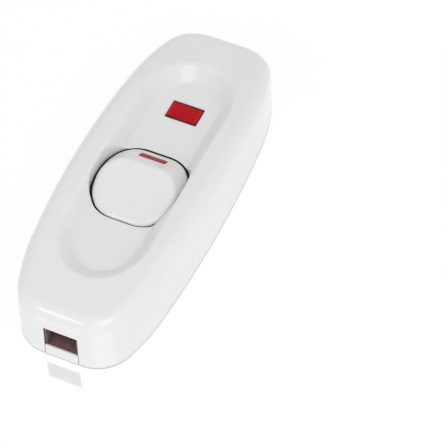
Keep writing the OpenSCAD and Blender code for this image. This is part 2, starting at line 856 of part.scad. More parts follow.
module switch_base_screws() {
    color("silver") for (y = base_post_y)
        screw(0, y, base_head_z, base_screw_top_z - cut, base_screw_radius, base_head_radius);
}

// ---- Cable entries and cord grips ----

// Fibre lining of the sides and top of an entry, with a flange behind the housing's wall
module entry_bush(end) {
    half_width = entry_half_width - rear_clearance;
    top_z = entry_top_z - rear_clearance;
    color("sienna") scale([1, end, 1]) difference() {
        union() {
            box([-half_width, bush_y[0], rear_thickness], [half_width, bush_y[1], top_z]);
            box([-half_width - bush_flange, bush_y[0], rear_thickness],
                [half_width + bush_flange, bush_flange_y, top_z + bush_flange]);
        }
        box([-half_width + bush_wall, bush_y[0] - cut, rear_thickness - cut],
            [half_width - bush_wall, bush_y[1] + cut, top_z - bush_wall]);
    }
}

module supply_entry_bush() { entry_bush(supply); }
module load_entry_bush() { entry_bush(load); }

// Fibre plate screwed up against the cord, with a wide tongue and the floor of the cable entry
module grip_plate(end) {
    floor_half_width = entry_half_width - bush_wall - 2 * rear_clearance;
    color("sienna") scale([1, end, 1]) difference() {
        union() {
            box([-grip_plate_half_width, grip_plate_y[0], grip_plate_z[0]],
                [grip_plate_half_width, grip_plate_y[1], grip_plate_z[1]]);
            box([-grip_tongue_half_width, grip_plate_y[1] - cut, grip_plate_z[0]],
                [grip_tongue_half_width, grip_tongue_end, grip_plate_z[1]]);
            box([-floor_half_width, grip_tongue_end - cut, grip_plate_z[0]],
                [floor_half_width, entry_floor_end, grip_plate_z[1]]);
        }
        for (side = [live, neutral]) {
            upright(side * grip_place[0], grip_place[1],
                [grip_plate_z[0] - cut, grip_plate_z[1] + cut], grip_hole_radius);
            upright(side * grip_place[0], grip_place[1],
                [grip_plate_z[0] - cut, grip_head_z[1]], grip_head_radius + rear_clearance);
        }
    }
}

module supply_cord_grip_plate() { grip_plate(supply); }
module load_cord_grip_plate() { grip_plate(load); }

// Fibre pad above the cord, with two ribs that bite into its sheath
module grip_pad(end) {
    color("sienna") scale([1, end, 1]) {
        box([-grip_pad_half_width, grip_pad_y[0], grip_pad_z[0]],
            [grip_pad_half_width, grip_pad_y[1], grip_pad_z[1]]);
        for (share = [0.3, 0.7]) let (y = mix(grip_pad_y[0], grip_pad_y[1], share))
            rod([-grip_pad_half_width, y, grip_pad_z[0]],
                [grip_pad_half_width, y, grip_pad_z[0]], grip_rib_radius);
    }
}

module supply_cord_grip_pad() { grip_pad(supply); }
module load_cord_grip_pad() { grip_pad(load); }

module cord_grip_screws() {
    color("silver") at_corners(grip_place)
        screw(0, 0, grip_head_z, grip_screw_top_z - cut, grip_screw_radius, grip_head_radius);
}

// ---- Neon indicator ----

module neon_lens() {
    half = [lens_width / 2, lens_length / 2];
    top_z = dish_floor_z + lens_proud;
    color("red") translate([0, lens_y, 0]) {
        box([-half[0], -half[1], dish_underside_z],
            [half[0], half[1], top_z - lens_chamfer]);
        box([-half[0] + lens_chamfer, -half[1] + lens_chamfer, top_z - lens_chamfer],
            [half[0] - lens_chamfer, half[1] - lens_chamfer, top_z]);
        box([-lens_flange[0] / 2, -lens_flange[1] / 2, dish_underside_z - lens_flange_thickness],
            [lens_flange[0] / 2, lens_flange[1] / 2, dish_underside_z]);
    }
}

module neon_lamp_glass() {
    round_y = lamp_y[0] + lamp_radius;
    color("lightcyan") translate([0, 0, lamp_z]) difference() {
        union() {
            rod([0, round_y, 0], [0, lamp_y[1], 0], lamp_radius);
            translate([0, round_y, 0]) sphere(r = lamp_radius);
        }
        rod([0, round_y, 0], [0, lamp_y[1] - 1.2, 0], lamp_inner_radius);
        translate([0, round_y, 0]) sphere(r = lamp_inner_radius);
        for (side = [live, neutral])
            rod([side * electrode_x, lamp_y[1] - 2, 0], [side * electrode_x, lamp_y[1] + cut, 0],
                lead_hole);
    }
}

// Electrodes that run on as leads, one straight to its terminal and one through the resistor
module neon_electrodes() {
    terminal_face_x = load_terminal_x - terminal_size[0] / 2;
    terminal_face_y = load_terminal_y - terminal_size[1] / 2;
    resistor_end_y = resistor_place[1] + resistor_length;
    color("gray") {
        wire([
            [-electrode_x, electrode_start_y, lamp_z], [-electrode_x, lead_turn_y, lamp_z],
            [-terminal_face_x, lead_turn_y, lamp_z]
        ], lead_radius);
        wire([
            [electrode_x, electrode_start_y, lamp_z], [electrode_x, lead_turn_y, lamp_z],
            [resistor_place[0], lead_turn_y, lamp_z],
            [resistor_place[0], lead_turn_y, resistor_place[2]],
            [resistor_place[0], resistor_end_y, resistor_place[2]]
        ], lead_radius);
        wire([
            resistor_place, [resistor_place[0], lead_end[1], resistor_place[2]],
            [lead_end[0], lead_end[1], resistor_place[2]],
            [lead_end[0], terminal_face_y, resistor_place[2]]
        ], lead_radius);
    }
}

module neon_resistor() {
    cap = 1.2;
    end = resistor_place + [0, resistor_length, 0];
    color("burlywood") {
        rod(resistor_place, end, resistor_radius - 0.15);
        rod(resistor_place, resistor_place + [0, cap, 0], resistor_radius);
        rod(end - [0, cap, 0], end, resistor_radius);
    }
}

// Cradle that stands on the base under the lens and holds the lamp in two forks
module lamp_holder() {
    fork_top_z = lamp_z + lamp_radius * 0.6;
    color("whitesmoke") difference() {
        union() {
            box([-holder_half_width, holder_y[0], base_top_z],
                [holder_half_width, holder_y[1], base_top_z + holder_floor]);
            for (y = [holder_y[0] + cut, holder_y[1] - cut - holder_upright])
                box([-holder_half_width, y, base_top_z],
                    [holder_half_width, y + holder_upright, fork_top_z]);
        }
        rod([0, holder_y[0] - cut, lamp_z], [0, holder_y[1] + cut, lamp_z],
            lamp_radius + running_clearance);
    }
}

front_cover();
rear_cover();
rear_cover_screws();
neon_lens();
neon_lamp_glass();
neon_electrodes();
neon_resistor();
lamp_holder();
switch_base();
switch_base_screws();
rocker();
rocker_indicator_bar();
rocker_pivot_pins();
live_plunger();
neutral_plunger();
live_plunger_spring();
neutral_plunger_spring();
live_moving_contact();
neutral_moving_contact();
live_moving_tip();
neutral_moving_tip();
live_pivot_saddle();
neutral_pivot_saddle();
live_fixed_contact();
neutral_fixed_contact();
live_fixed_tip();
neutral_fixed_tip();
live_supply_terminal();
neutral_supply_terminal();
live_load_terminal();
neutral_load_terminal();
earth_terminal();
terminal_screws();
supply_entry_bush();
load_entry_bush();
supply_cord_grip_plate();
load_cord_grip_plate();
supply_cord_grip_pad();
load_cord_grip_pad();
cord_grip_screws();
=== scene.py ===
"""Looks of the in-line cord switch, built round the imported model.

Shapes are worked out in millimetres and turned into metres when a mesh is made. The visible
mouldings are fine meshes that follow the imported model's sizes; the inner pieces are the packed
ones with better materials.
"""
import json
from math import cos, pi, radians, sin, tan

import bmesh
import bpy
import numpy as np
from mathutils import Matrix, Vector
from mathutils.geometry import delaunay_2d_cdt


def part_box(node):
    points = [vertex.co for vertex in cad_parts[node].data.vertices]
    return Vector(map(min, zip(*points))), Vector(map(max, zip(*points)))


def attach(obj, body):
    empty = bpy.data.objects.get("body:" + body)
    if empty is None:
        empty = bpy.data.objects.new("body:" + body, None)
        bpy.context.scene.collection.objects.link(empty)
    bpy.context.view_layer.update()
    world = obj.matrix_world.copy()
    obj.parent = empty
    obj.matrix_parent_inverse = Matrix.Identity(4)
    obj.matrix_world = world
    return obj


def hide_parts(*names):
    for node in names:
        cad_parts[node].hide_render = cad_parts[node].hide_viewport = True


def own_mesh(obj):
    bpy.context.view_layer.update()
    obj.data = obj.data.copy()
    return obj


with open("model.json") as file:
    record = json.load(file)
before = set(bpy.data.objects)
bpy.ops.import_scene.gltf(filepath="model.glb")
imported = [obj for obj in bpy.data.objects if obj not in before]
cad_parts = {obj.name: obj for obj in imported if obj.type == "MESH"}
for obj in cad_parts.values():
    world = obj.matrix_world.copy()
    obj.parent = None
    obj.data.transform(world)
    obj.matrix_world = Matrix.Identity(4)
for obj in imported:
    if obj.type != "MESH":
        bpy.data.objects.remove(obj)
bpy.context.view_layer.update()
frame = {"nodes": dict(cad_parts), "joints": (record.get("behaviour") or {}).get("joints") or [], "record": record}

MM = 0.001


def node_box(node):
    """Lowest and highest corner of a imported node, in millimetres."""
    low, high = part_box(node)
    return np.array(low) / MM, np.array(high) / MM


# ---- Sizes, in millimetres and degrees ----

HALF_WIDTH, HALF_LENGTH, HEIGHT = node_box("front_cover")[1]
FRONT_ARCH = 5.1            # drop of the front from the middle to the ends
FLANK_RADIUS = 394
FLANK_ANGLE = 5.04
SHOULDER_RADIUS = 69.5
SHOULDER_ANGLE = 13.07
CORNER_RADIUS = 11.96
END_LEAN = 0.03             # inward lean of the end faces for each unit of height
FRONT_FILLET = 4
WALL = 2.2

DISH_FLOOR_Z = 17.9
DISH_FLOOR_HALF_WIDTH = 8.9
DISH_RIM_HALF_WIDTH = 14.7
DISH_STRAIGHT = 26
DISH_FLOOR_CAP = 11.3
DISH_RIM_CAP = 17.3
DISH_SOFT_SIDES = 0.25      # share of the recess wall's run that each soft edge takes
DISH_SOFT_ENDS = 0.17

rocker_high = node_box("rocker")[1]
tilt = next(j for j in frame["joints"] if j["name"] == "rocker_tilt")
AXIS_Y, AXIS_Z = (value / MM for value in tilt["pos_m"][1:])
ROCKER_HALF_WIDTH = rocker_high[0]
ROCKER_RADIUS = rocker_high[1] - AXIS_Y
OPENING_HALF_WIDTH = ROCKER_HALF_WIDTH + 0.35
OPENING_HALF_LENGTH = ROCKER_RADIUS + 0.3
OPENING_FLAT_X = 3.4        # straight part of the opening's short edges
OPENING_FLAT_Y = 3.2        # straight part of its long edges
OPENING_LIP = 0.12          # rounding of its edge on the recess floor
SIDE_LIP = 0.5              # rounding of its edge where its walls are tall
OPENING_DRAFT = 0.04        # how far its sides lean out for each unit above the recess floor
WELL_START = 0.5            # where the well's walls turn upright, below the recess floor
WELL_BOTTOM_Z = 12
WELL_WALL = 1.6

RIDGE_Y, RIDGE_Z = -1.2, 24.4
PRESS_SLOPE = 20.2          # slope of the long pressing facet
BAR_SLOPE = 33.5            # slope of the short facet with the red bar
CHEEK_SLOPE = 62            # slope of the cheeks, which the short facet turns into
PLATEAU_HALF_WIDTH = 12     # of the pressing facet
PLATEAU_CORNER = 7.4        # radius of its corners beside the ridge
RIDGE_EDGE, CHEEK_EDGE = 0.65, 1.5      # softness of the pressing facet's edges
END_EDGE, BARREL_EDGE = 1.8, 0.9        # softness where the facets meet the barrel
ROCKER_SHRINK = 0.09        # keeps the fine skin clear of the opening
ROCKER_WALL = 1.8
ROCKER_SKIRT = 3.5          # from the axis down to the rocker's lower edge
HALF_TRAVEL = 8

LENS_SIZE = (10.1, 6.6)
LENS_GAP = 0.05
LENS_LIP = 0.12
lens_low, lens_high = node_box("neon_lens")
LENS_Y = (lens_low[1] + lens_high[1]) / 2
LENS_TOP_Z = lens_high[2]

ENTRY_HALF_WIDTH = 5.4
ENTRY_TOP_Z = 12

# ---- Camera: set back on the photograph's line of sight ----

CAMERA_AZIMUTH = 28.815
CAMERA_ELEVATION = 51.472
CAMERA_ROLL = -4.052
CAMERA_DISTANCE = 816.05
CAMERA_LENS = 221.8         # for the 36 mm sensor
CAMERA_TARGET_Z = 10
TARGET_AIM = (-0.02729, 0.01176)    # where the target lies off the view's middle, as tangents


def make_camera():
    azimuth, elevation = radians(CAMERA_AZIMUTH), radians(CAMERA_ELEVATION)
    back = Vector((sin(azimuth) * cos(elevation), -cos(azimuth) * cos(elevation), sin(elevation)))
    right = Vector((cos(azimuth), sin(azimuth), 0))
    roll = Matrix.Rotation(radians(CAMERA_ROLL), 3, back)
    right = roll @ right
    level = Matrix((right, back.cross(right), back)).transposed()
    aim = Vector((*TARGET_AIM, -1)).rotation_difference(Vector((0, 0, -1)))
    camera = bpy.data.objects.new("camera", bpy.data.cameras.new("camera"))
    camera.data.sensor_width = 36
    camera.data.lens = CAMERA_LENS
    camera.data.clip_end = 100
    camera.rotation_mode = "QUATERNION"
    camera.rotation_quaternion = (level @ aim.to_matrix()).to_quaternion()
    camera.location = (Vector((0, 0, CAMERA_TARGET_Z)) + back * CAMERA_DISTANCE) * MM
    bpy.context.scene.collection.objects.link(camera)
    bpy.context.scene.camera = camera


make_camera()

# ---- Mesh helpers ----


def new_piece(name, points, faces, sharp_angle=35):
    """A mesh object from points in millimetres."""
    mesh = bpy.data.meshes.new(name)
    mesh.from_pydata([tuple(p) for p in np.asarray(points) * MM], [], [tuple(f) for f in faces])
    tidy = bmesh.new()
    tidy.from_mesh(mesh)
    bmesh.ops.remove_doubles(tidy, verts=tidy.verts, dist=1e-7)
    bmesh.ops.recalc_face_normals(tidy, faces=tidy.faces)
    tidy.to_mesh(mesh)
    tidy.free()
    mesh.shade_smooth()
    mesh.set_sharp_from_angle(angle=radians(sharp_angle))
    piece = bpy.data.objects.new(name, mesh)
    bpy.context.scene.collection.objects.link(piece)
    return piece


class Builder:
    """Collects points and faces of one piece."""

    def __init__(self):
        self.points, self.faces = [], []

    def ring(self, points):
        """Adds a loop of points and returns their numbers."""
        first = len(self.points)
        self.points.extend(np.asarray(points, float))
        return list(range(first, len(self.points)))

    def strip(self, a, b, skip=()):
        """Quads between two loops of equal length."""
        count = len(a)
        self.faces += [(a[i], a[(i + 1) % count], b[(i + 1) % count], b[i])
                       for i in range(count) if i not in skip]

    def strips(self, rings, skip=()):
        for a, b in zip(rings, rings[1:]):
            self.strip(a, b, skip)

    def close(self, ring):
        """One flat face over a loop."""
        self.faces.append(tuple(ring))

    def fan(self, ring):
        """Triangles from a loop to its middle."""
        middle = np.mean([self.points[i] for i in ring], axis=0)
        tip = self.ring([middle])[0]
        self.faces += [(ring[i], ring[(i + 1) % len(ring)], tip) for i in range(len(ring))]

    def piece(self, name, sharp_angle=35):
        return new_piece(name, self.points, self.faces, sharp_angle)


def arc(centre, radius, start, end, steps, first=1):
    """Points of an arc, from step first to the last."""
    angles = np.radians(start + (end - start) * np.arange(first, steps + 1) / steps)
    return np.array(centre) + radius * np.column_stack((np.cos(angles), np.sin(angles)))


def whole_loop(quarter):
    """The loop of a quarter whose ends lie on the two axes."""
    quarter = np.asarray(quarter)
    left = (quarter * (-1, 1))[-2::-1]
    back = (-quarter)[1:]
    right = (quarter * (1, -1))[-2:0:-1]
    return np.concatenate((quarter, left, back, right))


# ---- Shape of the housing ----

FLANK_STEPS, SHOULDER_STEPS, CORNER_STEPS, FLAT_STEPS = 22, 10, 24, 4
QUARTER_STEPS = FLANK_STEPS + SHOULDER_STEPS + CORNER_STEPS + FLAT_STEPS
STRAIGHT_STEPS = FLANK_STEPS + SHOULDER_STEPS


def polar(angle):
    return np.array((cos(radians(angle)), sin(radians(angle))))


flank_centre = np.array((HALF_WIDTH - FLANK_RADIUS, 0))
shoulder_centre = flank_centre + (FLANK_RADIUS - SHOULDER_RADIUS) * polar(FLANK_ANGLE)
corner_turn = FLANK_ANGLE + SHOULDER_ANGLE
corner_centre = shoulder_centre + (SHOULDER_RADIUS - CORNER_RADIUS) * polar(corner_turn)


def outline(inset):
    """The housing's outline set in by inset, with points at both sides of each cable entry."""
    end_y = corner_centre[1] + CORNER_RADIUS - inset
    flat = [(ENTRY_HALF_WIDTH * (1 - i / (FLAT_STEPS - 1)), end_y) for i in range(FLAT_STEPS)]
    return whole_loop(np.concatenate((
        arc(flank_centre, FLANK_RADIUS - inset, 0, FLANK_ANGLE, FLANK_STEPS, 0),
        arc(shoulder_centre, SHOULDER_RADIUS - inset, FLANK_ANGLE, corner_turn, SHOULDER_STEPS),
        arc(corner_centre, CORNER_RADIUS - inset, corner_turn, 90, CORNER_STEPS),
        flat,
    )))


def racetrack(half_width, cap):
    """A loop with straight sides and round ends, with as many points as the outline."""
    side = [(half_width, DISH_STRAIGHT * i / STRAIGHT_STEPS) for i in range(STRAIGHT_STEPS + 1)]
    steps = QUARTER_STEPS - STRAIGHT_STEPS
    end = [(half_width * cos(pi / 2 * i / steps), DISH_STRAIGHT + cap * sin(pi / 2 * i / steps))
           for i in range(1, steps + 1)]
    return whole_loop(side + end)


def opening_size(angles, grow, lip, leaning):
    """Half width, half length and lip radius of the rocker opening at angles of its corner.

    The sides lean out and have a wider lip where their walls are tall.
    """
    x = OPENING_FLAT_X + (OPENING_HALF_WIDTH - OPENING_FLAT_X) * np.cos(angles)
    y = AXIS_Y + OPENING_FLAT_Y + (OPENING_HALF_LENGTH - OPENING_FLAT_Y) * np.sin(angles)
    tall = (front_height(np.column_stack((x, y))) - DISH_FLOOR_Z) * leaning
    radius = OPENING_LIP + (SIDE_LIP - OPENING_LIP) * tall / (HEIGHT - DISH_FLOOR_Z)
    out = grow + lip * radius
    return OPENING_HALF_WIDTH + OPENING_DRAFT * tall + out, OPENING_HALF_LENGTH + out, radius


CORNER_DIVISIONS = 28
CORNER_ANGLES = np.radians(90 * np.arange(CORNER_DIVISIONS + 1) / CORNER_DIVISIONS)


def opening_loop(grow=0, lip=0, leaning=True):
    """The rocker opening: two straight edges a side and elliptical corners."""
    side, end, _ = opening_size(CORNER_ANGLES, grow, lip, leaning)
    corner = np.column_stack((OPENING_FLAT_X + (side - OPENING_FLAT_X) * np.cos(CORNER_ANGLES),
                              OPENING_FLAT_Y + (end - OPENING_FLAT_Y) * np.sin(CORNER_ANGLES)))
    loop = np.concatenate((corner, (corner * (-1, 1))[::-1], -corner, (corner * (1, -1))[::-1]))
    return loop + (0, AXIS_Y)


def opening_drop(lip):
    """How far the opening's rounded edge lies below the front, at a share of the lip's width."""
    radius = opening_size(CORNER_ANGLES, 0, 0, True)[2]
    return np.tile(np.concatenate((radius, radius[::-1])), 2) * lip_drop(lip, 1)


def window_loop(grow, steps=6):
    """The lens window, a rectangle divided along its edges."""
    half = np.array(LENS_SIZE) / 2 + LENS_GAP + grow
    corners = [half * s for s in ((1, 1), (-1, 1), (-1, -1), (1, -1))]
    loop = [a + (b - a) * i / steps for a, b in zip(corners, corners[1:] + corners[:1])
            for i in range(steps)]
    return np.array(loop) + (0, LENS_Y)


def crown(y):
    return HEIGHT - FRONT_ARCH * (np.asarray(y) / HALF_LENGTH) ** 2


def soft_slope(run, past):
    """Share of the recess wall's height left at a share of its run, with soft edges.

    past is the share of the way round the recess's end.
    """
    e = DISH_SOFT_SIDES + (DISH_SOFT_ENDS - DISH_SOFT_SIDES) * past * past
    k = 1 / (1 - e)
    return np.where(run < e, 1 - k * run * run / (2 * e),
                    np.where(run > 1 - e, k * (1 - run) ** 2 / (2 * e), 1 - k * (run - e / 2)))


def recess_run(x, y):
    """Share of the recess wall's run at each point: 0 outside the rim, 1 on the floor."""
    past = np.abs(y) - DISH_STRAIGHT
    side = (DISH_RIM_HALF_WIDTH - np.abs(x)) / (DISH_RIM_HALF_WIDTH - DISH_FLOOR_HALF_WIDTH)
    low, high = np.zeros_like(past), np.ones_like(past)
    for _ in range(30):
        run = (low + high) / 2
        a = DISH_RIM_HALF_WIDTH + (DISH_FLOOR_HALF_WIDTH - DISH_RIM_HALF_WIDTH) * run
        b = DISH_RIM_CAP + (DISH_FLOOR_CAP - DISH_RIM_CAP) * run
        outside = (x / a) ** 2 + (past / b) ** 2 > 1
        low, high = np.where(outside, low, run), np.where(outside, run, high)
    return np.clip(np.where(past > 0, low, side), 0, 1)


def front_height(points):
    """Height of the front surface over points of the plan."""
    x, y = points[:, 0], points[:, 1]
    run = recess_run(x, y)
    cap = DISH_RIM_CAP + (DISH_FLOOR_CAP - DISH_RIM_CAP) * run
    past = np.clip((np.abs(y) - DISH_STRAIGHT) / cap, 0, 1)
    rim_y = np.where(np.abs(y) > DISH_STRAIGHT, DISH_STRAIGHT + DISH_RIM_CAP * past, np.abs(y))
    wall_z = DISH_FLOOR_Z + (crown(rim_y) - DISH_FLOOR_Z) * soft_slope(run, past)
    return np.where(run < 1e-6, crown(y), wall_z)


def lean(points, share=1.0):
    """Draws the ends in with height, as the end faces lean."""
    points = np.array(points, float)
    points[:, 1] *= 1 - END_LEAN * share * points[:, 2] / HALF_LENGTH
    return points


def in_opening(points, lip, grow=0):
    u = np.clip(np.abs(points[:, 0]) - OPENING_FLAT_X, 0, None)
    v = np.clip(np.abs(points[:, 1] - AXIS_Y) - OPENING_FLAT_Y, 0, None)
    angles = np.arctan2(v / (OPENING_HALF_LENGTH - OPENING_FLAT_Y),
                        u / (OPENING_HALF_WIDTH - OPENING_FLAT_X))
    side, end, _ = opening_size(angles, grow, lip, True)
    return (u / (side - OPENING_FLAT_X)) ** 2 + (v / (end - OPENING_FLAT_Y)) ** 2 < 1


def in_window(points, grow):
    return ((np.abs(points[:, 0]) < LENS_SIZE[0] / 2 + LENS_GAP + grow)
            & (np.abs(points[:, 1] - LENS_Y) < LENS_SIZE[1] / 2 + LENS_GAP + grow))


def lip_drop(distance, radius):
    """How far a rounded edge lies below the surface at a distance from its wall."""
    reach = np.clip(radius - distance, 0, radius)
    return radius - np.sqrt(radius * radius - reach * reach)


def cover_plan(build, border, rings, openings, height):
    """Covers the plan inside border with triangles that pass through rings, round the openings.

    A ring is (points, lean share). An opening is (loops, their drops, margin, test), from its
    wall outwards. Returns the numbers of the border's points and of each opening's first loop.
    """
    loops = [(border, 0, 1)]
    for around, drops, _, _ in openings:
        loops += [(loop, drop, 0) for loop, drop in zip(around, drops)]
    starts = np.cumsum([0] + [len(points) for points, _, _ in loops])
    edges = [(start + i, start + (i + 1) % len(points))
             for start, (points, _, _) in zip(starts, loops) for i in range(len(points))]
    for points, share in rings:
        clear = np.ones(len(points), bool)
        for _, _, margin, test in openings:
            clear &= ~test(points, margin)
        loops.append((points[clear], 0, share))
    plan = np.concatenate([points for points, _, _ in loops])
    drop = np.concatenate([np.broadcast_to(d, len(points)) for points, d, _ in loops])
    share = np.concatenate([np.full(len(points), float(s)) for points, _, s in loops])
    _, _, faces, sources, _, _ = delaunay_2d_cdt([Vector(p) for p in plan], edges, [], 1, 1e-6, True)
    kept = [group[0] for group in sources]
    plan, drop, share = plan[kept], drop[kept], share[kept]
    numbers = build.ring(lean(np.column_stack((plan, height(plan) - drop)), share))
    for face in faces:
        middle = plan[list(face)].mean(axis=0)[None]
        if not any(test(middle, 0)[0] for *_, test in openings):
            build.faces.append(tuple(numbers[i] for i in face))
    number_of = {first: numbers[i] for i, first in enumerate(kept)}
    innermost = [0] + [1 + sum(len(o[0]) for o in openings[:i]) for i in range(len(openings))]
    return [[number_of[starts[i] + j] for j in range(len(loops[i][0]))] for i in innermost]


# ---- Front cover ----

INNER_DROP = 2.2            # thickness of the front
INNER_FILLET = 1.8
SILL_EDGE = 0.2             # rounding of the edge that stands on the table


def plan_rings(rim_runs, floor_shares, crest_shares):
    """The rings of points over the front: crest, recess wall and recess floor."""
    rim = racetrack(DISH_RIM_HALF_WIDTH, DISH_RIM_CAP)
    floor = racetrack(DISH_FLOOR_HALF_WIDTH, DISH_FLOOR_CAP)
    border = outline(FRONT_FILLET)
    rings = [(rim + (border - rim) * share, share) for share in crest_shares]
    rings += [(rim + (floor - rim) * run, 0) for run in rim_runs]
    for share in floor_shares:
        rings.append((racetrack(DISH_FLOOR_HALF_WIDTH * share, DISH_FLOOR_CAP * share)[::3], 0))
    return border, rings


def arched(points, drop):
    return lean(np.column_stack((points, crown(points[:, 1]) - drop)))


def notch_columns():
    """Numbers of the outline's steps that cross the two cable entries."""
    loop = outline(0)
    after = np.roll(loop, -1, axis=0)
    middle = (loop + after) / 2
    return {i for i, (x, y) in enumerate(middle)
            if abs(x) < ENTRY_HALF_WIDTH and abs(y) > corner_centre[1]}


def wall_rows(inset, drop, bottom):
    """Rings down a wall, from under its fillet to the table, with one row at the entry's top."""
    loop = outline(inset)
    top = crown(loop[:, 1]) - drop
    notch = ENTRY_TOP_Z / (crown(HALF_LENGTH - inset) - drop)
    rows = []
    for share in (1, 0.5 + notch / 2, notch, notch * 0.8, notch * 0.6, notch * 0.4, notch * 0.2):
        rows.append(lean(np.column_stack((loop, top * share))))
    for edge_inset, z in bottom:
        edge = outline(inset + edge_inset)
        rows.append(lean(np.column_stack((edge, np.full(len(edge), z)))))
    return rows


def front_cover():
    build = Builder()
    runs = 0.5 - 0.5 * np.cos(np.linspace(0, pi, 25))
    border, rings = plan_rings(runs, (0.85, 0.65, 0.4, 0.15), np.linspace(0.08, 0.92, 9))
    lips = np.array((0, 0.12, 0.3, 0.6, 1, 1.5))
    window_lips = LENS_LIP * np.array((0, 0.3, 1))
    outer, opening, window = cover_plan(build, border, rings, [
        ([opening_loop(lip=share) for share in lips], [opening_drop(share) for share in lips],
         2, in_opening),
        ([window_loop(d) for d in window_lips], lip_drop(window_lips, LENS_LIP),
         LENS_LIP + 0.25, in_window)], front_height)

    under_border, under_rings = plan_rings((0, 0.25, 0.5, 0.75, 1), (0.6,), (0.5,))
    inner, well_top, window_under = cover_plan(build, under_border, under_rings, [
        ([opening_loop(WELL_WALL)], [0], 0, lambda points, lip: in_opening(points, lip, WELL_WALL)),
        ([window_loop(0)], [0], 0.25, in_window)], lambda points: front_height(points) - INNER_DROP)

    def down(loop, z):
        return build.ring([(*build.points[i][:2], z) for i in loop])

    def level(loop, z):
        return build.ring(np.column_stack((loop, np.full(len(loop), z))))

    well = opening_loop(leaning=False)
    build.strips([opening, level(well, DISH_FLOOR_Z - WELL_START), level(well, WELL_BOTTOM_Z),
                  down(well_top, WELL_BOTTOM_Z), well_top])
    build.strip(window, window_under)

    turns = np.radians(np.linspace(82.5, 7.5, 11))
    fillet = [build.ring(arched(outline(FRONT_FILLET * (1 - cos(t))), FRONT_FILLET * (1 - sin(t))))
              for t in turns]
    walls = [build.ring(row) for row in wall_rows(0, FRONT_FILLET, (
        (0, SILL_EDGE), (0.3 * SILL_EDGE, 0.3 * SILL_EDGE), (SILL_EDGE, 0)))]
    inner_walls = [build.ring(row) for row in wall_rows(WALL, FRONT_FILLET, (
        (0, SILL_EDGE), (0, 0.3 * SILL_EDGE), (0, 0)))]
    turns = np.radians((60, 30))
    inner_fillet = [build.ring(arched(outline(FRONT_FILLET - INNER_FILLET * cos(t)),
                                      FRONT_FILLET - INNER_FILLET * sin(t))) for t in turns]
    notch = notch_columns()
    entry_row = 2
    for side in (walls, inner_walls):
        build.strips(side[:entry_row + 1])
        build.strips(side[entry_row:], notch)
    build.strips([outer] + fillet + [walls[0]])
    build.strips([inner] + inner_fillet + [inner_walls[0]])
    build.strip(walls[-1], inner_walls[-1], notch)
    count = len(walls[0])
    for i in notch:
        a, b = walls[entry_row], inner_walls[entry_row]
        build.faces.append((a[i], a[(i + 1) % count], b[(i + 1) % count], b[i]))
    for i in range(count):
        if (i in notch) != ((i - 1) % count in notch):
            for row in range(entry_row, len(walls) - 1):
                build.faces.append((walls[row][i], walls[row + 1][i],
                                    inner_walls[row + 1][i], inner_walls[row][i]))
    return build.piece("housing_cover")


# ---- Rocker ----


def rocker_level(points, inset):
    """Signed distance-like level of the rocker's outside, set in by inset."""
    x = np.abs(points[:, 0])
    y, z = points[:, 1], points[:, 2]
    width = ROCKER_HALF_WIDTH - inset - OPENING_FLAT_X
    reach = ROCKER_RADIUS - inset - OPENING_FLAT_Y
    u = np.clip(x - OPENING_FLAT_X, 0, None) / width
    v = np.clip(np.hypot(y - AXIS_Y, z - AXIS_Z) - OPENING_FLAT_Y, 0, None) / reach
    size = np.maximum(np.hypot(u, v), 1e-6)
    barrel = (size - 1) * size / np.maximum(np.hypot(u / width, v / reach), 1e-6)

    corner_x, corner_y = PLATEAU_HALF_WIDTH - PLATEAU_CORNER, RIDGE_Y - PLATEAU_CORNER
    a, b = x - corner_x, y - corner_y
    turn = np.hypot(np.clip(a, 0, None), np.clip(b, 0, None))
    past = turn + np.minimum(np.maximum(a, b), 0) - PLATEAU_CORNER
    beside = (np.clip(a, 0, None) / np.maximum(turn, 1e-6)) ** 2
    beside = np.where(turn > 0, beside, a > b)
    edge_y = np.where(b > 0, corner_y + PLATEAU_CORNER * np.clip(b, 0, None) / np.maximum(turn, 1e-6), y)
    slope = np.radians(BAR_SLOPE + (CHEEK_SLOPE - BAR_SLOPE) * beside)
    rise = tan(radians(PRESS_SLOPE))
    press = (z - RIDGE_Z - (y - RIDGE_Y) * rise) * cos(radians(PRESS_SLOPE)) + inset
    fall = (z - RIDGE_Z - (edge_y - RIDGE_Y) * rise + past * np.tan(slope)) * np.cos(slope) + inset

    top = soft_max(press, fall, RIDGE_EDGE + (CHEEK_EDGE - RIDGE_EDGE) * beside)
    return soft_max(barrel, top, END_EDGE + (BARREL_EDGE - END_EDGE) * np.clip((y + 16) / 4, 0, 1))


def soft_max(a, b, soft):
    """The greater of two levels, with a rounded corner where they are within soft of each other."""
    near = np.clip(soft - np.abs(a - b), 0, None) / soft
    return np.maximum(a, b) + near * near * soft / 4


def rocker_surface(azimuths, elevations, inset):
    """Points of the rocker seen from the middle of its axis along directions in radians."""
    ways = np.column_stack((np.cos(elevations) * np.cos(azimuths),
                            np.cos(elevations) * np.sin(azimuths), np.sin(elevations)))
    low, high = np.zeros(len(ways)), np.full(len(ways), 30.0)
    origin = np.array((0, AXIS_Y, AXIS_Z))
    for _ in range(40):
        reach = (low + high) / 2
        out = rocker_level(origin + ways * reach[:, None], inset) > 0
        low, high = np.where(out, low, reach), np.where(out, reach, high)
    return origin + ways * low[:, None]


